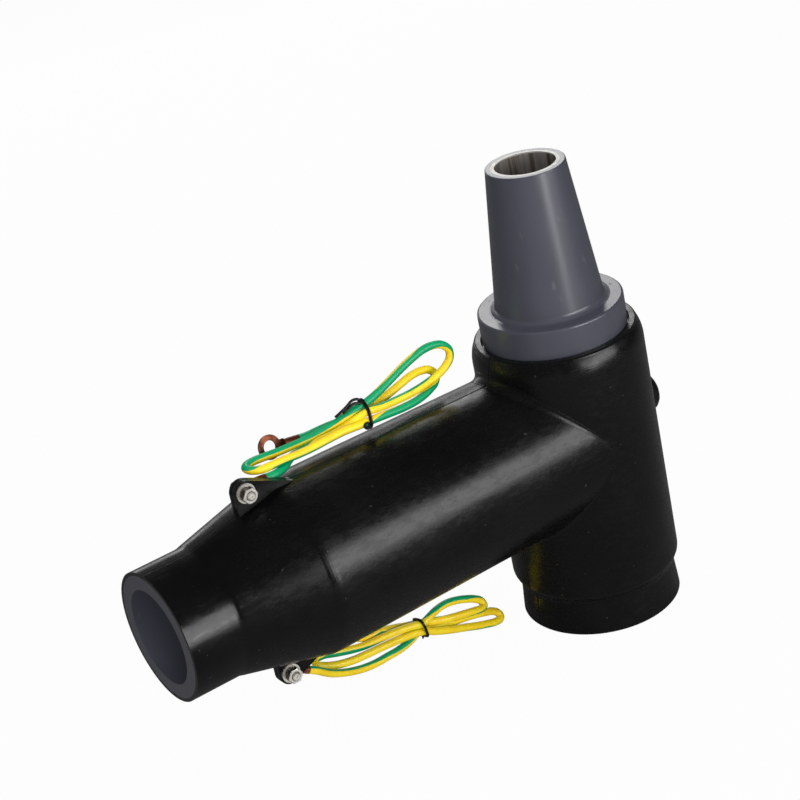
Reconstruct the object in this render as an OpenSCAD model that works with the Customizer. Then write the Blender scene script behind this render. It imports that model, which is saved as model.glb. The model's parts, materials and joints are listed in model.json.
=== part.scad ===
// Separable elbow connector: a screened rubber tee with a bushing socket below,
// a coupling cone above, a long cable arm and two tied earth leads.
// +Z runs up the barrel, z = 0 is the rim of the mouth, and the arm points to -X.

/* [Coupling interface] */
// Diameter of the shoulder under the cone, which a mating mouth grips
shoulder_d = 72; // [68:0.5:74]
// Height of the shoulder, and depth of the mouth that grips the next one
shoulder_h = 14.5; // [12:0.5:17]
// Diameter of the cone at its foot
cone_base_d = 53.5; // [50:0.5:57]
// Diameter of the cone at its tip
cone_tip_d = 39; // [37:0.2:40]
// Length of the cone
cone_h = 72; // [60:1:76]
// Radius of the fillet at the foot of the cone
cone_fillet = 3; // [1:0.5:5]
// Room round a mating cone and shoulder
interface_fit = 0.2; // [0.1:0.05:0.5]

/* [Barrel] */
// Diameter of the barrel
barrel_d = 85; // [83:0.5:92]
// Height of the barrel from the rim of the mouth to the collar
barrel_h = 152; // [146:1:165]
// Diameter of the collar round the shoulder
collar_d = 80.6; // [78:0.2:82]
// Height of the rounded edge below the collar
collar_round_h = 9; // [6:0.5:12]
// Width of the groove between collar and shoulder
collar_groove = 0.8; // [0.6:0.2:2]
// Depth of the groove between collar and shoulder
groove_depth = 3; // [2:0.2:4]
// Outer diameter of the skirt at the rim
skirt_d = 80.8; // [79:0.2:82]
// Outer diameter of the skirt at its waist
waist_d = 78.4; // [77:0.2:79]
// Height of the waist above the rim
waist_h = 16.5; // [14:0.5:18]
// Height over which the waist swells to the barrel
swell_h = 8; // [4:0.5:10]

/* [Arm] */
// Height of the arm's axis above the rim of the mouth
arm_z = 97; // [92:1:100]
// Length of the arm from the barrel's axis
arm_len = 242; // [232:1:256]
// Diameter of the arm where it meets the barrel
arm_root_d = 84; // [80:0.5:84.5]
// Diameter of the arm where its taper starts
arm_belly_d = 87.6; // [84:0.2:92]
// Distance from the barrel's axis to the start of the taper
belly_len = 171; // [166:1:176]
// Diameter of the neck at the cable end
neck_d = 64.6; // [60:0.2:68]
// Length of the neck
neck_len = 27; // [20:1:32]
// Radius of the rounded crease between arm and barrel
crease_round = 4; // [3:0.5:4.5]
// Diameter of the bore for the cable's stress cone
cable_bore_d = 47; // [42:0.5:50]

/* [Walls] */
// Wall of the jacket on barrel and arm
jacket_wall = 3; // [2:0.1:3.6]
// Wall of the jacket on the neck
neck_wall = 1.8; // [1:0.1:2.4]
// Wall of the screen that lines the lug chamber
screen_wall = 3; // [2:0.1:4]

/* [Contacts] */
// Outer diameter of the contact tube
tube_d = 33.4; // [31:0.2:34]
// Wall of the contact tube
tube_wall = 1.8; // [1:0.1:2.5]
// Diameter of the lug chamber
lug_bore_d = 38; // [34:0.5:40]
// Length of the lug chamber from the barrel's axis towards the cable
lug_len = 70; // [60:1:90]
// Reach of the lug chamber behind the barrel's axis
lug_back = 19; // [16:0.5:22]

/* [Test point] */
// Diameter of the rubber cap
cap_d = 23; // [20:0.2:23.4]
// Length of the rubber cap
cap_len = 9; // [8:0.5:12]
// Height of the cap's straight rim
cap_rim = 3; // [2:0.5:4]
// Diameter of the boss under the cap
boss_d = 24; // [23.6:0.2:27]
// Height of the boss above the barrel
boss_proud = 1.1; // [0.6:0.1:2]
// Diameter of the insulating ring round the electrode
ring_d = 11; // [9:0.5:12]
// Diameter of the electrode
electrode_d = 5; // [4:0.2:7]
// Length of the electrode's nib that the cap covers
nib_len = 5; // [3:0.5:5.5]

/* [Earthing ears] */
// Thickness of an ear
ear_t = 5; // [4:0.2:7]
// Distance of the ear's screw from the barrel's axis
ear_x = 184; // [182:0.5:187]
// Distance of the ear's screw from the arm's axis
ear_r = 48.6; // [48.2:0.1:51]
// Radius of the ear's outer corner
ear_round = 5.8; // [5.4:0.2:7]
// Length of the ear's fin from the screw along the arm
fin_len = 25; // [22:0.5:30]

/* [Fasteners] */
// Diameter of the earth screw
screw_d = 4; // [3:0.5:5]
// Width of nut and screw head across flats
hex_af = 7; // [6.5:0.5:8]
// Height of the nut
nut_h = 3.2; // [2.4:0.2:4]
// Height of the screw head
head_h = 2.8; // [2.4:0.1:3.6]
// Length of screw beyond the nut
screw_proud = 0.8; // [0.6:0.2:3]
// Outer diameter of the flat washer
washer_d = 9.6; // [9:0.2:10.6]
// Thickness of the flat washer
washer_t = 0.8; // [0.6:0.1:1.2]
// Outer diameter of the spring washer
spring_d = 7.4; // [6.8:0.2:8.6]
// Thickness of the spring washer
spring_t = 1; // [0.8:0.1:1.4]
// Room round the screw in washers, ears and terminals
screw_fit = 0.2; // [0.1:0.05:0.3]

/* [Terminals] */
// Thickness of the terminals' copper plate
plate_t = 0.8; // [0.6:0.1:1.2]
// Outer diameter of the ring on an ear
ear_ring_d = 9; // [8:0.2:10.6]
// Outer diameter of the ring at a free end
free_ring_d = 12; // [11:0.2:13]
// Hole of the ring at a free end
free_hole_d = 6.4; // [5:0.2:8]
// Width of the neck between ring and crimp
tongue_w = 4.4; // [3:0.2:5]
// Outer diameter of the crimp
crimp_d = 4.2; // [3.6:0.1:4.4]
// Length of the crimp
crimp_len = 8; // [6:0.5:8.5]
// Distance from the ring's centre to the end of the crimp
crimp_end = 15; // [14.6:0.1:15.4]

/* [Earth leads] */
// Diameter of an earth lead
lead_d = 4; // [3:0.2:4.4]
// Thickness of the tie
tie_t = 1.4; // [1:0.1:1.6]
// Width of the tie along the hank
tie_w = 1.6; // [1:0.1:3]

/* [Hidden] */
$fn = 64;
over = 1;

jacket_black = [0.06, 0.06, 0.065];
slate_grey = [0.29, 0.29, 0.33];
nickel = [0.75, 0.74, 0.72];
copper = [0.55, 0.27, 0.13];
lead_green = [0.1, 0.62, 0.33];

barrel_r = barrel_d / 2;
shoulder_r = shoulder_d / 2;
mouth_r = shoulder_r + interface_fit;
body_r = barrel_r - jacket_wall;
tube_r = tube_d / 2;
lug_r = lug_bore_d / 2;
screen_r = lug_r + screen_wall;
cable_r = cable_bore_d / 2;
neck_r = neck_d / 2;
belly_r = arm_belly_d / 2;
shoulder_top = barrel_h + shoulder_h;
cone_top = shoulder_top + cone_h;
neck_x = arm_len - neck_len;
// the screen's collar grips the contact tube over this height above the lug chamber
screen_collar = 12;
screen_top = arm_z + screen_r + screen_collar;
tube_bottom = arm_z + lug_r + screen_wall / 2;
boss_x = barrel_r + boss_proud;
edge = 1;
fine_edge = 0.5;
// how far the foot of the shoulder draws in behind the groove
foot_draw = 0.6;
// how far the jacket's thin edges run past the bends of the barrel and the neck
tuck = 2;
// bends at the two ends of the arm's taper, and the taper's slope
belly_round = 14;
neck_round = 10;
taper_a = 22;
belly_bend = belly_len - 4;
// chamfer at the closed end of the screen
screen_chamfer = 5;
// the blend of the crease starts this far from the arm's sides, sunk by this much in both walls
crease_from = 12;
crease_sink = 0.2;
// disc at the foot of the electrode, cast into the insulation
disc_d = ring_d + 4;
disc_t = 2;
disc_x = body_r - 3 * jacket_wall;
ear_top_z = arm_z + ear_r;
ear_low_z = arm_z - ear_r;
terminal_y = ear_t / 2;
head_y = terminal_y + plate_t;
crimp_y = crimp_d / 2;

// Points of an arc round [cx, cy], from angle a0 to a1
function arc(cx, cy, r, a0, a1, n = 8) = [for (i = [0:n]) [cx + r * cos(a0 + (a1 - a0) * i / n),
    cy + r * sin(a0 + (a1 - a0) * i / n)]];

// Turns what is drawn along +Z to point along -X on the arm's axis
module along_arm() {
    translate([0, 0, arm_z]) rotate([0, -90, 0]) children();
}

// Outer form of the barrel: skirt, waist, swell, wall, rounded edge and collar
module barrel_form() {
    collar_r = collar_d / 2;
    drop = barrel_r - collar_r;
    round_r = (collar_round_h * collar_round_h + drop * drop) / (2 * drop);
    round_a = asin(collar_round_h / round_r);
    rotate_extrude($fn = 96) polygon(concat(
        [[0, 0], [skirt_d / 2 - fine_edge, 0], [skirt_d / 2, fine_edge], [waist_d / 2, waist_h]],
        [for (i = [1:6]) [waist_d / 2 + (barrel_r - waist_d / 2) * (1 - cos(180 * i / 6)) / 2,
            waist_h + swell_h * i / 6]],
        arc(barrel_r - round_r, barrel_h - edge - collar_round_h, round_r, 0, round_a),
        arc(collar_r - edge, barrel_h - edge, edge, 0, 90, 3),
        [[0, barrel_h]]));
}

// Outer form of the arm: body, taper and neck
module arm_form(wall, end_wall, length) {
    along_arm() rotate_extrude($fn = 96) polygon(concat(
        [[0, 0], [arm_root_d / 2 - wall, 0]],
        arc(belly_r - wall - belly_round, belly_bend, belly_round, 0, taper_a, 4),
        arc(neck_r - end_wall + neck_round, neck_x + tuck, neck_round, 180 + taper_a, 180, 4),
        [[neck_r - end_wall, length], [0, length]]));
}

// Radius of the arm at a distance from the barrel's axis
function arm_r(s) = arm_root_d / 2 + (belly_r - arm_root_d / 2) * s / belly_bend;

// Centre of a ball that rolls in the crease, at an angle round the arm from its side; it is the point
// at one ball's radius from both the barrel and the arm, as seen from the arm's height
function ball_centre(a, out) = let (r0 = arm_root_d / 2 + out, s0 = sqrt(pow(barrel_r + out, 2)
    - pow(r0 * cos(a), 2)), r = arm_r(s0) + out, s = sqrt(pow(barrel_r + out, 2) - pow(r * cos(a), 2)))
    [-s, r * cos(a), r * sin(a)];

// Section of the blend at that angle: the ball's arc from arm to barrel, and a point inside the wall
function blend_section(a, n) = let (out = crease_round - crease_sink, c = ball_centre(a, out),
    u = [0, -cos(a), -sin(a)], v = unit([-c[0], -c[1], 0]), t = acos(u * v),
    root = c + unit(u + v) * (crease_round / cos(t / 2) + jacket_wall / 2))
    concat([for (i = [0:n]) c + crease_round * (sin(t * (1 - i / n)) * u + sin(t * i / n) * v) / sin(t)],
        [root]);

// Rounded crease over the arm, where it meets the barrel
module crease_blend() {
    arc_steps = 6;
    turn_steps = 32;
    size = arc_steps + 2;
    points = [for (j = [0:turn_steps]) each blend_section(crease_from + (180 - 2 * crease_from) * j
        / turn_steps, arc_steps)];
    last = turn_steps * size;
    faces = concat([[for (k = [0:size - 1]) k]], [[for (k = [size - 1:-1:0]) last + k]],
        [for (j = [0:turn_steps - 1]) for (k = [0:size - 1]) [j * size + k, (j + 1) * size + k,
            (j + 1) * size + (k + 1) % size, j * size + (k + 1) % size]]);
    translate([0, 0, arm_z]) polyhedron(points, faces, convexity = 6);
}

// One earthing ear, a fin in the arm's plane of symmetry with a round outer corner
module ear() {
    rise = ear_r + ear_round;
    foot = neck_r + tuck;
    fin_a = 25;
    translate([0, ear_t / 2, arm_z]) rotate([90, 0, 0]) linear_extrude(ear_t) {
        translate([-ear_x, ear_r]) circle(r = ear_round);
        polygon([[-ear_x - ear_round, foot], [-ear_x - ear_round, ear_r], [-ear_x, rise],
            [-ear_x + ear_round * sin(fin_a), ear_r + ear_round * cos(fin_a)],
            [-ear_x + fin_len, belly_r], [-ear_x + fin_len, belly_r - jacket_wall], [-ear_x, foot]]);
    }
}

// A hole along Y through both ears
module ear_holes() {
    for (z = [ear_low_z, ear_top_z])
        translate([-ear_x, ear_t, z]) rotate([90, 0, 0])
            cylinder(d = screw_d + 2 * screw_fit, h = 2 * ear_t);
}

// Outer form of the insulation, which the jacket wraps without a gap
module insulation_form() {
    root_r = cone_base_d / 2;
    foot_r = shoulder_r - foot_draw;
    bend_z = barrel_h - edge - collar_round_h;
    rotate_extrude($fn = 96) polygon(concat(
        [[0, shoulder_h], [mouth_r, shoulder_h], [body_r, waist_h + swell_h + tuck], [body_r, bend_z - tuck],
            [foot_r, bend_z + tuck], [foot_r, barrel_h - groove_depth], [shoulder_r, barrel_h]],
        arc(shoulder_r - edge, shoulder_top - edge, edge, 0, 90, 3),
        arc(root_r + cone_fillet, shoulder_top + cone_fillet, cone_fillet, 270, 186, 5),
        arc(cone_tip_d / 2 - fine_edge, cone_top - fine_edge, fine_edge, 6, 90, 3),
        [[0, cone_top]]));
    arm_form(jacket_wall, neck_wall, arm_len);
    translate([disc_x + jacket_wall, 0, arm_z]) rotate([0, 90, 0])
        cylinder(d = ring_d, h = boss_x - disc_x - jacket_wall);
}

// Space that a mating cone takes in the socket
module socket_space() {
    translate([0, 0, shoulder_h - over])
        cylinder(r1 = cone_base_d / 2 + interface_fit + over * (cone_base_d - cone_tip_d) / 2 / cone_h,
            r2 = cone_tip_d / 2 + interface_fit, h = cone_h + over);
}

// Outer form of the inner screen: a closed sleeve along the arm with a collar round the contact tube
module screen_form() {
    back = lug_back + screen_wall;
    along_arm() rotate_extrude($fn = 64) polygon([[0, -back], [screen_r - screen_chamfer, -back],
        [screen_r, screen_chamfer - back], [screen_r, lug_len], [0, lug_len]]);
    translate([0, 0, arm_z]) cylinder(r = tube_r + screen_wall, h = screen_top - arm_z);
}

// Mirrors what is drawn to the other side of the arm's axis, and keeps it on its own side too
module both_sides() {
    children();
    translate([0, 0, 2 * arm_z]) mirror([0, 0, 1]) children();
}

module outer_jacket() {
    color(jacket_black) difference() {
        union() {
            barrel_form();
            arm_form(0, 0, arm_len);
            both_sides() ear();
            both_sides() crease_blend();
            translate([0, 0, arm_z]) rotate([0, 90, 0]) cylinder(d = boss_d, h = boss_x);
        }
        insulation_form();
        translate([0, 0, -over]) cylinder(r = mouth_r, h = shoulder_h + 2 * over);
        collar_recess();
        ear_holes();
    }
}

// Space of the groove between the collar and the shoulder
module collar_recess() {
    inner_r = shoulder_r - 2 * foot_draw;
    outer_r = shoulder_r + collar_groove;
    rotate_extrude($fn = 96) polygon([[inner_r, barrel_h + over], [inner_r, barrel_h - groove_depth],
        [shoulder_r, barrel_h - groove_depth], [outer_r, barrel_h], [outer_r, barrel_h + over]]);
}

module insulation_body() {
    color(slate_grey) difference() {
        insulation_form();
        socket_space();
        screen_form();
        contact_bore(over);
        along_arm() translate([0, 0, lug_len]) cylinder(r = cable_r, h = arm_len);
        electrode_form();
    }
}

// Space of the contact tube, from the lug chamber up past the cone's tip
module contact_bore(past) {
    translate([0, 0, tube_bottom]) cylinder(r = tube_r, h = cone_top + past - tube_bottom);
}

module inner_screen() {
    chamfer = screen_chamfer - edge;
    color(jacket_black) difference() {
        screen_form();
        socket_space();
        contact_bore(over);
        translate([0, 0, arm_z]) cylinder(r = tube_r - tube_wall, h = screen_top);
        along_arm() rotate_extrude($fn = 64) polygon([[0, -lug_back], [lug_r - chamfer, -lug_back],
            [lug_r, chamfer - lug_back], [lug_r, lug_len + over], [0, lug_len + over]]);
    }
}

module contact_tube() {
    color(nickel) difference() {
        contact_bore(0);
        translate([0, 0, tube_bottom - over]) cylinder(r = tube_r - tube_wall, h = cone_top);
    }
}

// Electrode of the test point: a disc in the insulation and a nib out of the boss
module electrode_form() {
    translate([disc_x, 0, arm_z]) rotate([0, 90, 0]) {
        cylinder(d = disc_d, h = disc_t);
        cylinder(d = electrode_d, h = boss_x + nib_len - disc_x);
    }
}

module test_point_electrode() {
    color(nickel) electrode_form();
}

module test_point_cap() {
    cap_r = cap_d / 2;
    dome_r = cap_r - fine_edge;
    dome_h = cap_len - cap_rim;
    color(jacket_black) translate([boss_x, 0, arm_z]) rotate([0, 90, 0]) difference() {
        rotate_extrude() polygon(concat([[0, 0], [cap_r, 0]],
            [for (a = [0:15:90]) [dome_r * cos(a), cap_rim + dome_h * sin(a)]]));
        translate([0, 0, -over])
            cylinder(d = electrode_d + 2 * interface_fit, h = nib_len + over + interface_fit);
    }
}

// A stack along -Y, out of the front of an ear; what is drawn at z = 0 rests on the ear
module on_ear(z) {
    translate([-ear_x, -ear_t / 2, z]) rotate([90, 0, 0]) children();
}

module washer(d, t) {
    difference() {
        cylinder(d = d, h = t);
        translate([0, 0, -over]) cylinder(d = screw_d + 2 * screw_fit, h = t + 2 * over);
    }
}

module flat_washer(z) {
    color(nickel) on_ear(z) washer(washer_d, washer_t);
}

// Split ring washer
module spring_washer(z) {
    split_w = 0.8;
    split_a = 200;
    color(nickel) on_ear(z) translate([0, 0, washer_t]) difference() {
        washer(spring_d, spring_t);
        rotate([0, 0, split_a]) translate([0, -split_w / 2, -over])
            cube([spring_d, split_w, spring_t + 2 * over]);
    }
}

// Hexagon with both end edges turned off
module hexagon(h) {
    face_r = hex_af * 0.48;
    corner_r = hex_af * 0.6;
    drop = hex_af * 0.07;
    intersection() {
        cylinder(d = hex_af / cos(30), h = h, $fn = 6);
        rotate_extrude() polygon([[0, 0], [face_r, 0], [corner_r, drop], [corner_r, h - drop],
            [face_r, h], [0, h]]);
    }
}

module hex_nut(z) {
    color(nickel) on_ear(z) translate([0, 0, washer_t + spring_t]) difference() {
        hexagon(nut_h);
        translate([0, 0, -over]) cylinder(d = screw_d, h = nut_h + 2 * over);
        translate([0, 0, nut_h - fine_edge])
            cylinder(d1 = screw_d, d2 = screw_d + 4 * fine_edge, h = 2 * fine_edge);
    }
}

module earth_screw(z) {
    reach = head_y + ear_t / 2 + washer_t + spring_t + nut_h + screw_proud;
    dimple_d = screw_d * 0.4;
    color(nickel) translate([-ear_x, head_y, z]) rotate([90, 0, 0]) difference() {
        union() {
            translate([0, 0, -head_h]) hexagon(head_h);
            cylinder(d = screw_d, h = reach - fine_edge);
            translate([0, 0, reach - fine_edge])
                cylinder(d1 = screw_d, d2 = screw_d - edge, h = fine_edge);
        }
        translate([0, 0, reach - fine_edge]) cylinder(d1 = dimple_d / 2, d2 = dimple_d, h = 2 * fine_edge);
    }
}

// Ring terminal flat on its own xy plane, ring at the origin, crimp along +X
module ring_terminal(ring_d, hole_d) {
    color(copper) {
        difference() {
            union() {
                cylinder(d = ring_d, h = plate_t);
                translate([0, -tongue_w / 2, 0]) cube([crimp_end - crimp_len + edge, tongue_w, plate_t]);
                translate([crimp_end - crimp_len, 0, crimp_y]) rotate([0, 90, 0])
                    cylinder(d = crimp_d, h = crimp_len);
            }
            translate([0, 0, -over]) cylinder(d = hole_d, h = plate_t + 2 * over);
        }
    }
}

// Terminal behind an ear, its crimp turned down by an angle from the arm's line
module ear_terminal(z, down) {
    translate([-ear_x, terminal_y, z]) rotate([0, down, 0]) rotate([-90, 0, 0])
        ring_terminal(ear_ring_d, screw_d + 2 * screw_fit);
}

// Terminal at a free end, its crimp against the end of the lead and its plate tilted about the crimp
module free_terminal(end, down, tilt) {
    translate(end) rotate([0, down, 0]) rotate([tilt, 0, 0]) translate([-crimp_end, 0, -crimp_y])
        ring_terminal(free_ring_d, free_hole_d);
}

// The leads leave their ear terminals at these angles below the arm's line
upper_down = 5;
lower_down = 32;
// Depths of the hanks behind the arm's plane of symmetry
upper_hank_y = [5, 18];
lower_hank_y = [9, 25];
// Places of the ties, and the heights of the hanks there
upper_tie_x = -108;
lower_tie_x = -100;
upper_waist = [141.8, 154.6];
lower_waist = [15.5, 30];
// Where the leads end in their free terminals, and how far the crimps point down there
upper_free_end = [-140.1, upper_hank_y[1] + crimp_y, 147.1];
lower_free_end = [-141, 19.5, 37];
upper_free_down = 8;
lower_free_down = 30;
upper_free_tilt = 75;
lower_free_tilt = 8;
seat_half = crimp_y + edge / 2;
// Half the length of the straight waist under a tie
waist_half = 4;

// Where a lead leaves the crimp of its ear terminal
function lead_exit(z, down, out = 0) = [-ear_x + (crimp_end + out) * cos(down), terminal_y + crimp_y,
    z - (crimp_end + out) * sin(down)];

// A point of the hank's face that a free terminal's crimp meets, s along the face
function seat(end, down, s) = [end[0] + s * sin(down), end[2] + s * cos(down)];

// Hand-chosen routes of the leads from their exits to their hanks
upper_route = concat([lead_exit(ear_top_z, upper_down), lead_exit(ear_top_z, upper_down, 5)],
    [[-157, 7.6, 143.4], [-152, 11, 143.9], [-148, 12.8, 144.3], [-146, 12.8, 144.3]]);
lower_route = concat([lead_exit(ear_low_z, lower_down), lead_exit(ear_low_z, lower_down, 5)],
    [[-162.5, 6, 33.8], [-157.8, 7.6, 30.1], [-152.3, 9, 26.8], [-144.8, 10, 23.6], [-137, 11, 21.3],
        [-129, 12, 20.1], [-124, 12.6, 19.9], [-122, 12.6, 19.9]]);

function unit(v) = v / norm(v);

// Direction of a route at its point i
function heading(p, i) = unit(p[min(i + 1, len(p) - 1)] - p[max(i - 1, 0)]);

// A round tube swept along the points of a route
module swept(p, d, sides) {
    up = [0, 0, 1];
    points = [for (i = [0:len(p) - 1]) let (t = heading(p, i), u = unit(cross(up, t)), v = cross(t, u))
        for (k = [0:sides - 1]) p[i] + d / 2 * (cos(360 * k / sides) * u + sin(360 * k / sides) * v)];
    last = (len(p) - 1) * sides;
    faces = concat([[for (k = [0:sides - 1]) k]], [[for (k = [sides - 1:-1:0]) last + k]],
        [for (i = [0:len(p) - 2]) for (k = [0:sides - 1]) [i * sides + k, (i + 1) * sides + k,
            (i + 1) * sides + (k + 1) % sides, i * sides + (k + 1) % sides]]);
    polyhedron(points, faces, convexity = 6);
}

module upper_lead_tube() {
    color(lead_green) swept(upper_route, lead_d, 8);
}

module lower_lead_tube() {
    color(lead_green) swept(lower_route, lead_d, 8);
}

// Outline of the upper hank: left bend, waist at the tie, two loops at the right
module upper_outline() {
    top = 150.6;
    low = 147;
    foot = 140.8;
    end = upper_route[len(upper_route) - 1];
    polygon(concat([[end[0], foot], [-124, foot], [upper_tie_x - waist_half, upper_waist[0]],
            [upper_tie_x + waist_half, upper_waist[0]], [-96, foot], [-80, foot]],
        arc(-65, 156.5, 11.5, -75, 110),
        [[upper_tie_x + waist_half, upper_waist[1]], [upper_tie_x - waist_half, upper_waist[1]]],
        [[-122, 152], [-136, top]],
        arc(-173, (top + low) / 2, (top - low) / 2, 90, 270),
        [[end[0], low]]));
}

// Outline of the lower hank, which sinks towards its loops on the right
module lower_outline() {
    end = lower_route[len(lower_route) - 1];
    polygon(concat([[end[0], lower_waist[0]], [lower_tie_x + waist_half, lower_waist[0]], [-66, 1.6]],
        arc(-55, 6, 6, -90, 30),
        arc(-70, 22.5, 9, 0, 100),
        [[lower_tie_x + waist_half, lower_waist[1]], [lower_tie_x - waist_half, lower_waist[1]]],
        [seat(lower_free_end, lower_free_down, seat_half), seat(lower_free_end, lower_free_down, -seat_half)],
        arc(-156, 35.5, 4, 73, 262),
        [[-147, 27.6], [end[0], 22.6]]));
}

// An outline in the arm's plane given the depth of a hank
module hank(depth) {
    color(lead_green) translate([0, depth[1], 0]) rotate([90, 0, 0])
        linear_extrude(depth[1] - depth[0]) children();
}

module upper_lead_hank() {
    hank(upper_hank_y) upper_outline();
}

module lower_lead_hank() {
    hank(lower_hank_y) lower_outline();
}

// A band round the waist of a hank
module tie(x, depth, waist) {
    span = depth[1] - depth[0];
    rise = waist[1] - waist[0];
    color(jacket_black) translate([x - tie_w / 2, depth[0], waist[0]]) difference() {
        translate([0, -tie_t, -tie_t]) cube([tie_w, span + 2 * tie_t, rise + 2 * tie_t]);
        translate([-over, 0, 0]) cube([tie_w + 2 * over, span, rise]);
    }
}

module upper_hank_tie() {
    tie(upper_tie_x, upper_hank_y, upper_waist);
}

module lower_hank_tie() {
    tie(lower_tie_x, lower_hank_y, lower_waist);
}

module upper_free_terminal() {
    free_terminal(upper_free_end, upper_free_down, upper_free_tilt);
}

module lower_free_terminal() {
    free_terminal(lower_free_end, lower_free_down, lower_free_tilt);
}

outer_jacket();
insulation_body();
inner_screen();
contact_tube();
test_point_electrode();
test_point_cap();
earth_screw(ear_top_z);  // upper_earth_screw
earth_screw(ear_low_z);  // lower_earth_screw
hex_nut(ear_top_z);  // upper_hex_nut
hex_nut(ear_low_z);  // lower_hex_nut
flat_washer(ear_top_z);  // upper_flat_washer
flat_washer(ear_low_z);  // lower_flat_washer
spring_washer(ear_top_z);  // upper_spring_washer
spring_washer(ear_low_z);  // lower_spring_washer
ear_terminal(ear_top_z, upper_down);  // upper_ear_terminal
ear_terminal(ear_low_z, lower_down);  // lower_ear_terminal
upper_free_terminal();
lower_free_terminal();
upper_lead_tube();
lower_lead_tube();
upper_lead_hank();
lower_lead_hank();
upper_hank_tie();
lower_hank_tie();
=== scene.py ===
import json
import math
import bpy
import numpy as np
from mathutils import Matrix


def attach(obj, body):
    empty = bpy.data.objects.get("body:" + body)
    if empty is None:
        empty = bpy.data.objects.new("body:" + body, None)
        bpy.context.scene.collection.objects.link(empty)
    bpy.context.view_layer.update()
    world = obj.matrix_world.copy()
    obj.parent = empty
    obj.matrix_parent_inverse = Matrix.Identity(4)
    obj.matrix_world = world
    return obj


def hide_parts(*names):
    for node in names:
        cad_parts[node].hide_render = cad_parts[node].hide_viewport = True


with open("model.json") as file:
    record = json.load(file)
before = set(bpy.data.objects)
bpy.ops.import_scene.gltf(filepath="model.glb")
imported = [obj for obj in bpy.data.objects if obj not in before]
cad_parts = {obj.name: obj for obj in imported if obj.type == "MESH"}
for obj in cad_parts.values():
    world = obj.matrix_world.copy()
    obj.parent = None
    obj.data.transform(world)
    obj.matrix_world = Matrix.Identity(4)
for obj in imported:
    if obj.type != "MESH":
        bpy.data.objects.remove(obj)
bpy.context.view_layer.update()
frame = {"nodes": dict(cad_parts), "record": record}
nodes = frame["nodes"]
scene = bpy.context.scene
scene.view_settings.view_transform = "Standard"
mm = 0.001
armHeight = 97 * mm  # height of the arm's axis above the mouth's rim
print("frame loaded:", len(nodes), "nodes")


def aimed(at, aim, roll=0.0):
    # a frame at one place that looks at another, turned about its line of sight by roll degrees
    back = np.array(at) - np.array(aim)
    back /= np.linalg.norm(back)
    right = np.cross((0, 0, 1), back)
    right /= np.linalg.norm(right)
    up = np.cross(back, right)
    a = math.radians(roll)
    turned = np.array([math.cos(a) * right + math.sin(a) * up, math.cos(a) * up - math.sin(a) * right, back])
    return Matrix(np.block([[turned.T, np.array(at)[:, None]], [np.array([[0, 0, 0, 1]])]]).tolist())


# Camera, at the photograph's viewing angle
camera = {
    "eye": (-0.5774, -0.8442, 0.6056),
    "target": (-0.09355, 0.0, 0.15298),
    "roll": -12.1,  # degrees, the barrel's top leans left
    "lens": 102.73, "sensor": 36,  # mm
    "near": 0.01,
}


def makeCamera(c):
    data = bpy.data.cameras.new("photoCamera")
    data.lens = c["lens"]
    data.sensor_width = c["sensor"]
    data.clip_start = c["near"]
    eye = bpy.data.objects.new("photoCamera", data)
    scene.collection.objects.link(eye)
    eye.matrix_world = aimed(c["eye"], c["target"], c["roll"])
    scene.camera = eye


makeCamera(camera)
print("camera placed")


# Shader maths: a wire is a socket of a material's tree, and arithmetic on wires adds Math nodes
class Wire:
    def __init__(self, tree, socket):
        self.tree = tree
        self.socket = socket

    def node(self, kind, settings=None, inputs=None, out=0):
        made = self.tree.nodes.new(kind)
        for name, value in (settings or {}).items():
            setattr(made, name, value)
        for name, value in (inputs or {}).items():
            if isinstance(value, Wire):
                self.tree.links.new(value.socket, made.inputs[name])
            else:
                made.inputs[name].default_value = value
        return Wire(self.tree, made.outputs[out])

    def maths(self, operation, first, second=0.0):
        return self.node("ShaderNodeMath", {"operation": operation}, {0: first, 1: second})

    def __add__(self, other):
        return self.maths("ADD", self, other)

    def __radd__(self, other):
        return self.maths("ADD", other, self)

    def __sub__(self, other):
        return self.maths("SUBTRACT", self, other)

    def __rsub__(self, other):
        return self.maths("SUBTRACT", other, self)

    def __mul__(self, other):
        return self.maths("MULTIPLY", self, other)

    def __rmul__(self, other):
        return self.maths("MULTIPLY", other, self)

    def __abs__(self):
        return self.maths("ABSOLUTE", self)

    def ramp(self, low, high):  # 0 below low, 1 above high, smooth between
        return self.node("ShaderNodeMapRange", {"interpolation_type": "SMOOTHSTEP"},
                         {"Value": self, "From Min": low, "From Max": high})

    def mix(self, first, second):  # a colour between two, by this wire's value
        return self.node("ShaderNodeMix", {"data_type": "RGBA"}, {0: self, 6: first, 7: second}, 2)

    def noise(self, scale, detail=2.0, rough=0.5):
        return self.node("ShaderNodeTexNoise", None,
                         {"Vector": self, "Scale": scale, "Detail": detail, "Roughness": rough})

    def stretched(self, x, y, z):
        return self.node("ShaderNodeMapping", None, {"Vector": self, "Scale": (x, y, z)})

    def part(self, letter):
        return self.node("ShaderNodeSeparateXYZ", None, {"Vector": self}, "XYZ".index(letter))

    def bump(self, strength, distance):  # this wire's value as height
        return self.node("ShaderNodeBump", None,
                         {"Height": self, "Strength": strength, "Distance": distance})


def newFinish(name, **fixed):
    material = bpy.data.materials.new(name)
    material.use_nodes = True
    tree = material.node_tree
    shader = tree.nodes["Principled BSDF"]
    for socket, value in fixed.items():
        shader.inputs[socket.replace("_", " ")].default_value = value
    places = Wire(tree, tree.nodes.new("ShaderNodeTexCoord").outputs["Object"])
    return material, shader, places


def feed(shader, **wires):
    for socket, wire in wires.items():
        wire.tree.links.new(wire.socket, shader.inputs[socket.replace("_", " ")])


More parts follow.
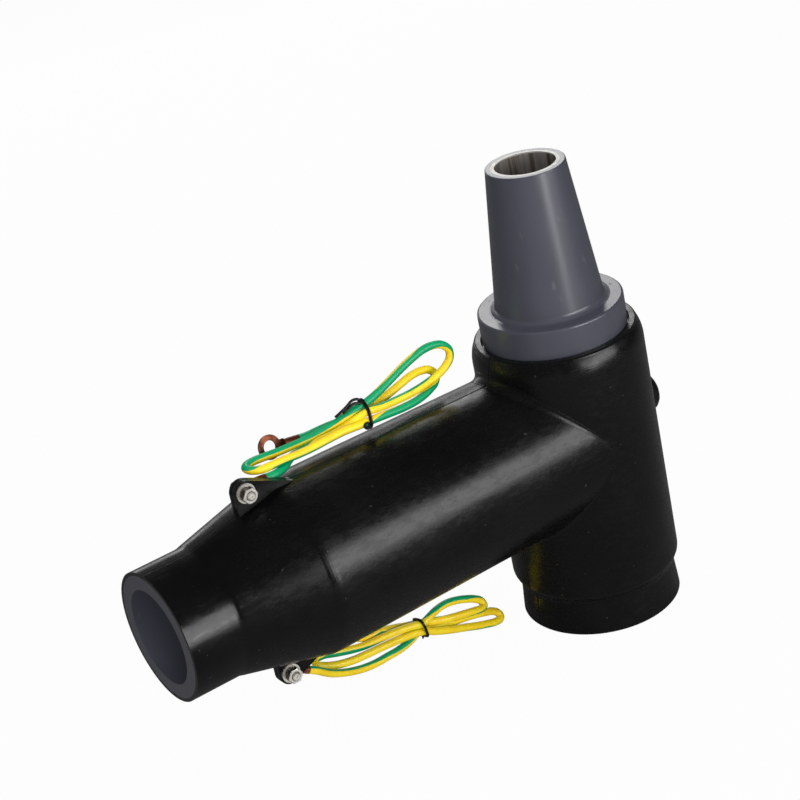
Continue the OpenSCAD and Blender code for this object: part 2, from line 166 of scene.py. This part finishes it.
def rgb(red, green, blue):  # a colour as seen on screen, 0 to 255, in linear light
    seen = np.array([red, green, blue]) / 255
    linear = np.where(seen <= 0.04045, seen / 12.92, ((seen + 0.055) / 1.055) ** 2.4)
    return (*linear.tolist(), 1.0)


# Finishes: cloud, grain and the like are noise scales, a share is how far one colour goes to the next
jacketFinish = {
    "black": rgb(6, 6, 6), "bloom": rgb(18, 18, 18), "bloomShare": 0.5,
    "dust": rgb(120, 118, 115), "dustShare": 0.12,
    "cloud": 14, "mottle": 330, "grain": 2600, "specks": 420,
    "body": 0.2, "neck": 0.14, "neckEnds": (-0.215, -0.19),  # roughness, and where along X it changes
    "cloudRough": 0.08, "mottleRough": 0.12, "speckRough": 0.2,
    "seamWidth": 0.7 * mm, "seamDepth": 6, "seamRough": 0.45,
    "mottleHeight": 1.4, "grainHeight": 0.5,
    "specular": 0.45, "bump": 0.45, "relief": 0.06 * mm,
}


def jacketRubber(c):
    material, shader, places = newFinish("jacketRubber", Specular_IOR_Level=c["specular"])
    cloud = places.noise(c["cloud"], 4, 0.6)
    mottle = places.stretched(0.4, 1, 1).noise(c["mottle"], 4, 0.7)  # drawn out along the arm
    specks = places.noise(c["specks"], 1).ramp(0.76, 0.8)
    seam = 1 - abs(places.part("Y")).ramp(0.3 * c["seamWidth"], c["seamWidth"])
    colour = (cloud.ramp(0.35, 0.75) * c["bloomShare"]).mix(c["black"], c["bloom"])
    colour = (specks * c["dustShare"]).mix(colour, c["dust"])
    smoother = 1 - places.part("X").ramp(*c["neckEnds"])  # the neck is shinier than the body
    rough = c["body"] + (c["neck"] - c["body"]) * smoother + c["cloudRough"] * cloud.ramp(0.4, 0.8)
    rough = rough + c["mottleRough"] * mottle.ramp(0.35, 0.7) + c["speckRough"] * specks
    rough = rough + c["seamRough"] * seam  # the mould's parting line is dull
    height = places.noise(c["grain"]) * c["grainHeight"] - seam * c["seamDepth"] + mottle * c["mottleHeight"]
    feed(shader, Base_Color=colour, Roughness=rough, Normal=height.bump(c["bump"], c["relief"]))
    return material


insulationFinish = {
    "grey": rgb(75, 76, 86), "deep": rgb(63, 64, 74), "chalk": rgb(104, 104, 108), "chalkShare": 0.25,
    "cloud": 22, "flow": 160, "scuffs": 330, "grain": 1900,
    "roughness": 0.23, "cloudRough": 0.12, "scuffRough": 0.2, "grainHeight": 0.35, "flowHeight": 0.4,
    "specular": 0.85, "bump": 0.3, "relief": 0.06 * mm,
}


def insulationRubber(c):
    material, shader, places = newFinish("insulationRubber", Specular_IOR_Level=c["specular"])
    cloud = places.noise(c["cloud"], 4, 0.6)
    flow = places.stretched(1, 1, 0.12).noise(c["flow"], 3)  # drawn out along the cone
    scuffs = places.stretched(1, 1, 0.35).noise(c["scuffs"]).ramp(0.68, 0.74)
    colour = (0.6 * cloud + 0.4 * flow).mix(c["deep"], c["grey"])
    colour = (scuffs * c["chalkShare"]).mix(colour, c["chalk"])
    rough = c["roughness"] + c["cloudRough"] * cloud + c["scuffRough"] * scuffs
    height = places.noise(c["grain"]) * c["grainHeight"] + flow * c["flowHeight"]
    feed(shader, Base_Color=colour, Roughness=rough, Normal=height.bump(c["bump"], c["relief"]))
    return material


screenFinish = {"black": rgb(14, 14, 15), "soot": rgb(30, 30, 31), "cloud": 60, "grain": 900,
                "roughness": 0.6, "cloudRough": 0.2, "bump": 0.3, "relief": 0.08 * mm}


def screenRubber(c):
    material, shader, places = newFinish("screenRubber")
    cloud = places.noise(c["cloud"], 3)
    feed(shader, Base_Color=cloud.mix(c["black"], c["soot"]),
         Roughness=c["roughness"] + c["cloudRough"] * cloud,
         Normal=places.noise(c["grain"]).bump(c["bump"], c["relief"]))
    return material


contactFinish = {
    "bright": rgb(206, 203, 198), "tarnish": rgb(88, 77, 68), "streaks": 330,
    "rim": (0.2375, 0.2383),  # the bore is tarnished below, the rim above stays bright
    "leastStain": 0.6, "roughness": 0.3, "streakRough": 0.3,
    "metal": 0.4, "bump": 0.25, "relief": 0.06 * mm,
}


def platedContact(c):
    material, shader, places = newFinish("platedContact", Metallic=c["metal"])
    streaks = places.stretched(1, 1, 0.03).noise(c["streaks"], 3, 0.6)
    below = 1 - places.part("Z").ramp(*c["rim"])
    stain = below * (c["leastStain"] + (1 - c["leastStain"]) * streaks.ramp(0.35, 0.65))
    feed(shader, Base_Color=stain.mix(c["bright"], c["tarnish"]),
         Roughness=c["roughness"] + c["streakRough"] * streaks,
         Normal=streaks.bump(c["bump"], c["relief"]))
    return material


hardwareFinish = {
    # the flank colour is painted shade, laid on the nut's sides and spring washer between the nut's and
    # washer's faces along Y
    "bright": rgb(214, 210, 203), "worn": rgb(160, 155, 148), "paintedShade": rgb(122, 113, 105),
    "nutFace": -7.2 * mm, "washerFace": -3.45 * mm, "soft": 0.2 * mm,  # places along Y
    "wear": 420, "lay": 5200, "faceMetal": 0.55, "flankMetal": 1.0,
    "roughness": 0.18, "wearRough": 0.22, "bump": 0.2, "relief": 0.03 * mm,
}


def platedSteel(c):
    material, shader, places = newFinish("platedSteel")
    wear = places.noise(c["wear"], 4, 0.65).ramp(0.45, 0.75)
    lay = places.stretched(1, 0.2, 1).noise(c["lay"])
    along = places.part("Y")
    behindNut = along.ramp(c["nutFace"] - c["soft"], c["nutFace"] + c["soft"])
    behindWasher = along.ramp(c["washerFace"] - c["soft"], c["washerFace"] + c["soft"])
    paintedShade = behindNut * (1 - behindWasher)  # painted shade: the nut's sides and spring washer are darker than the end faces, as if they lay in shade
    # painted shade: the flanks take the darker colour and turn fully metallic
    colour = paintedShade.mix(wear.mix(c["bright"], c["worn"]), c["paintedShade"])
    feed(shader, Base_Color=colour,
         Metallic=c["faceMetal"] + (c["flankMetal"] - c["faceMetal"]) * paintedShade,
         Roughness=c["roughness"] + c["wearRough"] * wear, Normal=lay.bump(c["bump"], c["relief"]))
    return material


copperFinish = {"copper": rgb(124, 66, 40), "brown": rgb(76, 38, 24), "oxide": 260, "grain": 2400,
                "metal": 0.7, "roughness": 0.3, "oxideRough": 0.25, "bump": 0.2, "relief": 0.04 * mm}


def dullCopper(c):
    material, shader, places = newFinish("dullCopper", Metallic=c["metal"])
    oxide = places.noise(c["oxide"], 4, 0.6).ramp(0.35, 0.7)
    feed(shader, Base_Color=oxide.mix(c["copper"], c["brown"]),
         Roughness=c["roughness"] + c["oxideRough"] * oxide,
         Normal=places.noise(c["grain"]).bump(c["bump"], c["relief"]))
    return material


leadFinish = {
    "green": rgb(4, 160, 102), "yellow": rgb(255, 226, 38), "shade": rgb(248, 204, 28),
    "edge": 0.05, "ragged": 0.1, "cloud": 120, "grain": 1500,
    "specular": 0.5, "roughness": 0.28, "cloudRough": 0.12, "bump": 0.08, "relief": 0.05 * mm,
}


def leadSkin(c):
    material, shader, places = newFinish("leadSkin", Specular_IOR_Level=c["specular"])
    stripe = places.node("ShaderNodeAttribute", {"attribute_name": "stripe"}, None, 2)  # above 0 is green
    cloud = places.noise(c["cloud"], 3)
    border = stripe + c["ragged"] * (cloud - 0.5)
    yellow = cloud.ramp(0.35, 0.85).mix(c["yellow"], c["shade"])
    feed(shader, Base_Color=border.ramp(-c["edge"], c["edge"]).mix(yellow, c["green"]),
         Roughness=c["roughness"] + c["cloudRough"] * cloud,
         Normal=places.noise(c["grain"]).bump(c["bump"], c["relief"]))
    return material


tieFinish = {"black": rgb(15, 15, 16), "rubbed": rgb(52, 51, 50), "rubs": 500, "grain": 1800,
             "roughness": 0.3, "rubRough": 0.25, "bump": 0.2, "relief": 0.05 * mm}


def tieSkin(c):
    material, shader, places = newFinish("tieSkin")
    rubs = places.noise(c["rubs"], 3).ramp(0.55, 0.8)
    feed(shader, Base_Color=rubs.mix(c["black"], c["rubbed"]),
         Roughness=c["roughness"] + c["rubRough"] * rubs,
         Normal=places.noise(c["grain"]).bump(c["bump"], c["relief"]))
    return material


finishes = {
    "jacket": jacketRubber(jacketFinish),
    "insulation": insulationRubber(insulationFinish),
    "screen": screenRubber(screenFinish),
    "contact": platedContact(contactFinish),
    "hardware": platedSteel(hardwareFinish),
    "copper": dullCopper(copperFinish),
    "lead": leadSkin(leadFinish),
    "tie": tieSkin(tieFinish),
}
finishes["cap"] = finishes["jacket"]
for row in frame["record"]["subparts"]:
    for place in nodes[row["node"]].material_slots:
        place.material = finishes[row["material_slot"]]


# Meshes from whole arrays
def addPiece(name, points, faces, slotName):
    mesh = bpy.data.meshes.new(name)
    mesh.from_pydata(points.tolist(), [], faces)
    mesh.polygons.foreach_set("use_smooth", np.full(len(mesh.polygons), True))
    mesh.materials.append(finishes[slotName])
    piece = bpy.data.objects.new(name, mesh)
    scene.collection.objects.link(piece)
    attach(piece, "root")
    return piece


def tubeFaces(rings, sides):  # quads between successive rings, and a cap at each end
    i = np.arange(rings - 1)[:, None] * sides
    k = np.arange(sides)[None, :]
    n = (k + 1) % sides
    quads = np.stack([i + k, i + n, i + sides + n, i + sides + k], axis=-1).reshape(-1, 4)
    caps = [list(range(sides))[::-1], [(rings - 1) * sides + j for j in range(sides)]]
    return quads.tolist() + caps


def smoothRoute(points, step):
    # piecewise cubic through the points: each leaves along the chord of its neighbours
    p = np.asarray(points, float)
    s = np.concatenate([[0], np.cumsum(np.linalg.norm(np.diff(p, axis=0), axis=1))])
    slope = np.gradient(p, s, axis=0)
    t = np.linspace(0, s[-1], int(s[-1] / step) + 1)
    i = np.clip(np.searchsorted(s, t, side="right") - 1, 0, len(s) - 2)
    h = (s[i + 1] - s[i])[:, None]
    u = (t[:, None] - s[i][:, None]) / h
    line = ((2 * u**3 - 3 * u**2 + 1) * p[i] + (u**3 - 2 * u**2 + u) * h * slope[i]
            + (3 * u**2 - 2 * u**3) * p[i + 1] + (u**3 - u**2) * h * slope[i + 1])
    return line, t, s


def carriedFrames(line):
    # side and lift directions along a line, carried from ring to ring without twisting
    ahead = np.gradient(line, axis=0)
    ahead /= np.linalg.norm(ahead, axis=1)[:, None]
    side = np.cross(ahead, (0, 0, 1))
    side[0] /= np.linalg.norm(side[0])
    for k in range(1, len(line)):
        flat = side[k - 1] - ahead[k] * (side[k - 1] @ ahead[k])
        side[k] = flat / np.linalg.norm(flat)
    return ahead, side, np.cross(side, ahead)


def sweep(line, halfWide, halfThick, sides):
    # an oval carried along a line: point = line + a cos(angle) side + b sin(angle) lift
    ahead, side, lift = carriedFrames(line)
    angle = np.arange(sides) * 2 * math.pi / sides
    ring = (halfWide * np.cos(angle))[None, :, None] * side[:, None, :]
    ring = ring + (halfThick * np.sin(angle))[None, :, None] * lift[:, None, :]
    return (line[:, None, :] + ring).reshape(-1, 3), tubeFaces(len(line), sides), (ahead, side, lift)


# The two earth leads. Each row is a point in mm and the way the green side faces there:
# 0 is to the front, 90 up, 180 to the back and 270 down, and None follows its neighbours
upperLead = {
    "diameter": 4 * mm, "sides": 20, "step": 0.7 * mm,
    "rows": [
        (-169.06, 4.6, 144.29, 28), (-164.1, 4.6, 143.86, 28), (-157, 7.6, 143.4, 28),
        (-152, 11, 143.9, 28), (-148, 12.8, 144.3, 60), (-146, 12.8, 144.3, 90), (-140, 12.1, 145, 150),
        (-134, 11.4, 145.8, 208), (-124, 11, 146.2, 208), (-117, 11, 147.3, 208),
        (-112.5, 10.2, 148.7, 190), (-108, 9, 150.1, 170), (-99.5, 9, 149.2, 145),
        (-90.2, 9.5, 148.6, 145), (-80.7, 10, 148.4, 145), (-70.7, 10.5, 149.3, 150),
        (-63.4, 11, 150.8, 200), (-58.2, 11.5, 152.9, 255), (-55, 12, 155.4, None),
        (-54.3, 12, 159.3, None), (-57.2, 12, 163.4, None), (-62.7, 12, 165.6, 60),
        (-68.8, 12, 165.7, 10), (-75.3, 12, 164.1, 340), (-82.5, 12, 161.6, 340), (-90.7, 12, 158.2, 345),
        (-97.7, 12, 155.4, 0), (-104.1, 12, 153.4, 40), (-108, 12.4, 152.6, 70),
        (-117.5, 13.6, 150.3, 105), (-122.5, 14.4, 148.8, 110), (-127.8, 15, 147.9, 110),
        (-135.8, 15.5, 147.2, 110), (-142.6, 16, 147.1, 110), (-148.8, 16, 147.4, 110),
        (-154.9, 16, 147.7, 110), (-162.5, 16, 148.5, 108), (-169, 15.2, 149.2, 105),
        (-172.8, 13.6, 149.5, 100), (-174.4, 11.4, 149.5, 100), (-173.8, 9, 149.1, 115),
        (-171, 7.4, 148.3, 150), (-167.6, 6.9, 147.8, 205), (-163.2, 6.8, 147.6, 262),
        (-156.3, 6.8, 147.4, 262), (-149.3, 6.9, 146.8, 262), (-140.4, 7, 146.6, 258),
        (-131.6, 7, 147, 250), (-122.7, 7, 147.2, 240), (-115, 7, 146.6, 235), (-108, 7.5, 145.9, 270),
        (-102, 7.6, 145.4, 320), (-97.1, 7.8, 144.9, 350), (-87.8, 8.2, 144.1, 5), (-77.4, 9.6, 143.9, 5),
        (-68.8, 12, 145, None), (-64.4, 14.2, 145.8, None), (-62.2, 16.2, 147.4, None),
        (-62, 17.6, 149.4, None), (-63.9, 18.3, 151.3, None), (-68.8, 18.2, 152.8, 208),
        (-74.8, 17.5, 153, 208), (-81, 17, 151.8, 208), (-87.3, 16.5, 150.4, 208), (-93.5, 16, 149.2, 200),
        (-99.8, 14.9, 148.7, 180), (-108, 13.4, 148.5, 140), (-113, 15.6, 147.6, 110),
        (-118, 17.8, 147, 100), (-124, 19.2, 146.8, 100), (-129.5, 19.9, 146.6, 100),
        (-134.8, 20.1, 146.5, 100), (-140.1, 20.1, 147.1, 100)],
}
lowerLead = {
    "diameter": 4 * mm, "sides": 20, "step": 0.7 * mm,
    "rows": [
        (-171.28, 4.6, 40.45, 125), (-167.04, 4.6, 37.8, 125), (-162.5, 6, 33.8, 125),
        (-157.8, 7.6, 30.1, 130), (-152.3, 9, 26.8, 130), (-144.8, 10, 23.6, 132), (-137, 11, 21.3, 135),
        (-129, 12, 20.1, 125), (-124, 12.6, 19.9, 115), (-122, 12.6, 19.9, 112), (-114, 14.2, 19.3, 105),
        (-107, 16.2, 19.4, 100), (-100, 18.2, 20.6, 110), (-94.5, 18.9, 19.4, 150),
        (-90.4, 19.2, 17.9, 200), (-84.1, 19.6, 15.9, 200), (-77.7, 20, 14.2, 170),
        (-71.2, 20.6, 12.8, 140), (-64.8, 21, 11.2, 150), (-58.5, 21.6, 9.1, 170),
        (-53.8, 21.8, 7.4, 185), (-51.2, 21.2, 5.4, None), (-50.6, 20.2, 3.6, None),
        (-52, 19.2, 2.6, None), (-54.6, 18.8, 2.8, None), (-61.7, 18.2, 4.9, 250), (-68.2, 17.6, 7.3, 240),
        (-74.6, 16.8, 10.1, 225), (-81, 16, 12.7, 208), (-87.3, 15.2, 15.5, 208), (-93.4, 14.6, 18.4, 208),
        (-100, 14.2, 21.8, 205), (-105.1, 14, 23.2, 205), (-111.3, 13.6, 24.4, 205),
        (-117.5, 13.2, 25.3, 205), (-126.7, 12.8, 26.3, 205), (-135.8, 12.4, 27.1, 205),
        (-144.8, 12.2, 28.2, 205), (-152, 13, 29.6, 205), (-157.5, 14.2, 31.4, None),
        (-160.9, 15.6, 33.3, None), (-160.8, 17.4, 34.9, None), (-156.6, 18.4, 34.8, None),
        (-147.7, 18, 32.4, 290), (-140.7, 17.4, 30.6, 290), (-132.7, 16.8, 29.2, 280),
        (-124.2, 16.2, 29, 250), (-115.7, 15.2, 28.8, 220), (-110, 14.4, 28.4, 208),
        (-104.2, 13.9, 27.5, 208), (-100, 13.8, 26.4, 200), (-96.2, 14.3, 27.2, 150), (-90.1, 16, 28, 115),
        (-82.8, 17.5, 27.9, 110), (-76.1, 18.5, 26.2, 105), (-69.9, 19, 23.8, 100),
        (-64.4, 19.2, 21, None), (-61, 18.8, 18.3, None), (-60.6, 17.6, 16.1, None),
        (-63.2, 16.4, 15.8, 265), (-67.8, 15.7, 17, 245), (-74.1, 15.2, 18.6, 225),
        (-80.1, 15.2, 19.9, 205), (-85.8, 15.8, 21, 190), (-91.2, 16.8, 22.4, 160),
        (-95.5, 17.4, 23.8, 130), (-100, 17.8, 25, 120), (-106.8, 19, 26.4, 208), (-112.3, 19.5, 28, 230),
        (-120.8, 20.2, 29.9, 300), (-129.9, 20.2, 31.2, 250), (-135, 19.8, 33.6, 208),
        (-138, 19.6, 35.3, 208), (-141, 19.5, 37, 208)],
}


def makeLead(name, c, tubeNode, hankNode):
    rows = c["rows"]
    line, t, s = smoothRoute(np.array([r[:3] for r in rows]) * mm, c["step"])
    half = c["diameter"] / 2
    points, faces, (ahead, side, lift) = sweep(line, half, half, c["sides"])
    # where the green side faces, turned into an angle round each ring and eased along the lead
    known = [k for k, r in enumerate(rows) if r[3] is not None]
    facing = np.radians([rows[k][3] for k in known])
    at = np.clip(np.searchsorted(t, s[known]), 0, len(t) - 1)
    green = np.stack([0 * facing, -np.cos(facing), np.sin(facing)], axis=1)
    turn = np.arctan2((green * lift[at]).sum(axis=1), (green * side[at]).sum(axis=1))
    turn = np.interp(t, s[known], np.unwrap(turn))
    angle = np.arange(c["sides"]) * 2 * math.pi / c["sides"]
    stripe = np.cos(angle[None, :] - turn[:, None]).ravel()
    piece = addPiece(name, points, faces, "lead")
    piece.data.attributes.new("stripe", "FLOAT", "POINT").data.foreach_set("value", stripe)
    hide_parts(tubeNode, hankNode)
    length = float(np.linalg.norm(np.diff(line, axis=0), axis=1).sum())
    print(name, "is", round(length, 4), "m long")
    return piece, line, length


upperPiece, upperLine, upperLength = makeLead("upper_lead", upperLead, "upper_lead_tube", "upper_lead_hank")
lowerPiece, lowerLine, lowerLength = makeLead("lower_lead", lowerLead, "lower_lead_tube", "lower_lead_hank")


# Ties: a thin strip round the strands that pass a place along X, and its loose ends
tieStrip = {"around": 73, "sides": 10, "step": 0.5 * mm, "leastGap": 0.02 * mm}
upperTie = {
    "at": -108 * mm, "lean": 0.16, "half": (0.95 * mm, 0.7 * mm), "tail": 0.7 * mm,
    "tails": [[(-108.4, 10.6, 155.6), (-109.8, 10.8, 157.4), (-112.2, 11.4, 157.7), (-115.7, 11.6, 156),
               (-119.4, 11.8, 154.4), (-122.7, 12.2, 153)],
              [(-109.2, 9.8, 155.2), (-112.6, 10.2, 156.4), (-115.8, 10.6, 155.2), (-118.9, 11.2, 153.6)],
              [(-108.8, 5.4, 144.6), (-110.8, 4.8, 144.2), (-112.2, 4.6, 145), (-112.2, 4.6, 146.5),
               (-111, 4.7, 147), (-109.6, 4.9, 146)]],
}
lowerTie = {
    "at": -100 * mm, "lean": -0.2, "half": (0.95 * mm, 0.7 * mm), "tail": 0.5 * mm,
    "tails": [[(-99.8, 16.6, 18.2), (-99.9, 16.3, 17.5), (-100.1, 15.9, 16.9)]],
}


def strandsAt(line, place):  # where a lead's line passes the plane X = place, as rows of (y, z)
    before = line[:-1, 0] - place
    after = line[1:, 0] - place
    hit = np.nonzero(before * after < 0)[0]
    share = (before[hit] / (before[hit] - after[hit]))[:, None]
    return line[hit, 1:] * (1 - share) + line[hit + 1, 1:] * share


def makeTie(name, c, strip, line, radius, node):
    # hull round circles: in each direction the farthest strand's centre plus its radius
    centres = strandsAt(line, c["at"])
    angle = np.linspace(0, 2 * math.pi, strip["around"])
    out = np.stack([np.cos(angle), np.sin(angle)], axis=1)
    far = np.argmax(out @ centres.T, axis=1)
    hug = centres[far] + out * (radius + c["half"][1])
    drift = c["at"] + c["lean"] * (hug[:, 1] - hug[:, 1].mean())
    loop = np.concatenate([drift[:, None], hug], axis=1)
    apart = np.linalg.norm(np.diff(loop, axis=0), axis=1) > strip["leastGap"]
    loop = smoothRoute(loop[np.concatenate([[True], apart])], strip["step"])[0]
    sets = [sweep(loop, c["half"][0], c["half"][1], strip["sides"])[:2]]
    for tail in c["tails"]:
        path = smoothRoute(np.array(tail) * mm, strip["step"])[0]
        sets.append(sweep(path, c["tail"], c["tail"], strip["sides"])[:2])
    starts = np.cumsum([0] + [len(p) for p, _ in sets])
    faces = [[k + start for k in face] for (_, fs), start in zip(sets, starts) for face in fs]
    piece = addPiece(name, np.concatenate([p for p, _ in sets]), faces, "tie")
    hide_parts(node)
    return piece


upperTiePiece = makeTie("upper_tie", upperTie, tieStrip, upperLine, upperLead["diameter"] / 2,
                        "upper_hank_tie")
lowerTiePiece = makeTie("lower_tie", lowerTie, tieStrip, lowerLine, lowerLead["diameter"] / 2,
                        "lower_hank_tie")

print("leads and ties laid")


# The rounded crease between arm and barrel, a smooth skin over the solid's own blend
crease = {"barrelRadius": 42.5 * mm, "armRoot": 42 * mm, "armGrowth": 1.8 / 167, "ball": 4 * mm,
          "from": 6, "around": 120, "across": 14, "overlap": 0.03, "bury": 1.2 * mm}


def makeCrease(name, c, side):
    # a ball rolls in the crease: its centre lies one ball's radius off both walls,
    # and the skin is the ball's arc from the arm's wall to the barrel's
    a = np.radians(np.linspace(c["from"], 180 - c["from"], c["around"]))
    reach = c["barrelRadius"] + c["ball"]
    out = c["armRoot"] + c["ball"]
    out = out + c["armGrowth"] * np.sqrt(reach**2 - (out * np.cos(a))**2)
    x = -np.sqrt(reach**2 - (out * np.cos(a))**2)
    centre = np.stack([x, out * np.cos(a), out * np.sin(a)], axis=1)
    toArm = np.stack([0 * a, -np.cos(a), -np.sin(a)], axis=1)
    toBarrel = np.stack([-centre[:, 0], -centre[:, 1], 0 * a], axis=1) / reach
    wide = np.arccos(np.clip((toArm * toBarrel).sum(axis=1), -1, 1))[:, None, None]
    u = np.linspace(-c["overlap"], 1 + c["overlap"], c["across"])[None, :, None]
    arc = np.sin(wide * (1 - u)) * toArm[:, None, :] + np.sin(wide * u) * toBarrel[:, None, :]
    skin = centre[:, None, :] + c["ball"] * arc / np.sin(wide)
    middle = toArm + toBarrel
    middle /= np.linalg.norm(middle, axis=1)[:, None]
    root = centre + middle * (c["ball"] / np.cos(wide[:, :, 0] / 2) + c["bury"])
    section = np.concatenate([skin, root[:, None, :]], axis=1)
    section[:, :, 2] = armHeight + side * section[:, :, 2]
    faces = tubeFaces(c["around"], c["across"] + 1)
    if side > 0:
        faces = [face[::-1] for face in faces]
    return addPiece(name, section.reshape(-1, 3), faces, "jacket")


makeCrease("upper_crease", crease, 1)
makeCrease("lower_crease", crease, -1)
print("crease blended")


# Studio: pale floor, soft lamps above, in front and behind, and four panels that the rubber mirrors
studio = {
    "floor": rgb(188, 188, 188), "reach": 3.0, "drop": -0.5 * mm,
    "seenWhite": 0.97, "mirroredShare": 0.65, "shownTo": ("hardware", "contact", "copper"),
    "dimRoom": 0.05, "paleRoom": 0.12,
    "aim": (-0.1, 0.0, 0.1),
    "lamps": {
        "fill": {"at": (-0.25, -0.35, 1.25), "size": (1.3, 1.3), "watts": 11, "mirrored": False},
        "front": {"at": (-0.8, -1.0, 0.22), "size": (1.2, 0.9), "watts": 9.5, "mirrored": False},
        "back": {"at": (0.3, 1.3, 0.6), "size": (1.4, 0.8), "watts": 5, "mirrored": False},
        "panel": {"at": (0.3, -1.05, 0.37), "size": (1.0, 0.46), "watts": 6, "mirrored": True},
        "crown": {"at": (0.45, 0.74, 0.62), "size": (0.3, 0.3), "watts": 1.1, "mirrored": True},
        "strip": {"at": (0.14, -1.05, 0.1), "size": (0.2, 0.2), "watts": 0.6, "mirrored": True},
        "rear": {"at": (0.45, 1.25, 0.16), "size": (1.8, 0.22), "watts": 1.5, "mirrored": True},
    },
}


def addLamp(name, c, aim):
    data = bpy.data.lights.new(name, "AREA")
    data.shape = "RECTANGLE"
    data.size, data.size_y = c["size"]
    data.energy = c["watts"]
    lamp = bpy.data.objects.new(name, data)
    scene.collection.objects.link(lamp)
    lamp.matrix_world = aimed(c["at"], aim)
    lamp.visible_glossy = c["mirrored"]


def makeFloor(c):
    corners = np.array([[-1, -1, 0], [1, -1, 0], [1, 1, 0], [-1, 1, 0]]) * c["reach"] + (0, 0, c["drop"])
    mesh = bpy.data.meshes.new("floor")
    mesh.from_pydata(corners.tolist(), [], [[0, 1, 2, 3]])
    floor = bpy.data.objects.new("floor", mesh)
    scene.collection.objects.link(floor)
    material = bpy.data.materials.new("paleFloor")
    material.use_nodes = True
    tree = material.node_tree
    tree.nodes.remove(tree.nodes["Principled BSDF"])
    path = tree.nodes.new("ShaderNodeLightPath")
    mirrored = Wire(tree, path.outputs["Is Glossy Ray"]) + Wire(tree, path.outputs["Is Transmission Ray"])
    seen = c["seenWhite"] * Wire(tree, path.outputs["Is Camera Ray"]) + c["mirroredShare"] * mirrored
    matt = seen.node("ShaderNodeBsdfDiffuse", None, {"Color": c["floor"]})
    white = seen.node("ShaderNodeEmission", None, {"Color": (1, 1, 1, 1), "Strength": 1})
    both = seen.node("ShaderNodeMixShader", None, {0: seen, 1: matt, 2: white})
    tree.links.new(both.socket, tree.nodes["Material Output"].inputs["Surface"])
    mesh.materials.append(material)
    metal = bpy.data.collections.new("metal")  # rubber mirrors the matt floor, metal the white one
    for row in frame["record"]["subparts"]:
        if row["material_slot"] in c["shownTo"]:
            metal.objects.link(nodes[row["node"]])
    floor.light_linking.receiver_collection = metal


def makeRoom(c):
    world = bpy.data.worlds.new("room")
    scene.world = world
    world.use_nodes = True
    tree = world.node_tree
    way = Wire(tree, tree.nodes.new("ShaderNodeTexCoord").outputs["Generated"])
    behind = way.part("Y").ramp(-0.1, 0.5)  # the room is paler behind the object than in front
    low = 1 - way.part("Z").ramp(0.35, 0.8)  # and its ceiling is dim
    level = c["dimRoom"] + c["paleRoom"] * (behind * low)
    seen = Wire(tree, tree.nodes.new("ShaderNodeLightPath").outputs["Is Camera Ray"])
    level = level + seen * (1 - level)  # the camera sees white behind the object
    tree.links.new(level.socket, tree.nodes["Background"].inputs["Strength"])
    tree.nodes["Background"].inputs["Color"].default_value = (1, 1, 1, 1)


for lampName, lampPlace in studio["lamps"].items():
    addLamp(lampName + "Lamp", lampPlace, studio["aim"])
makeFloor(studio)
makeRoom(studio)
print("studio lit")
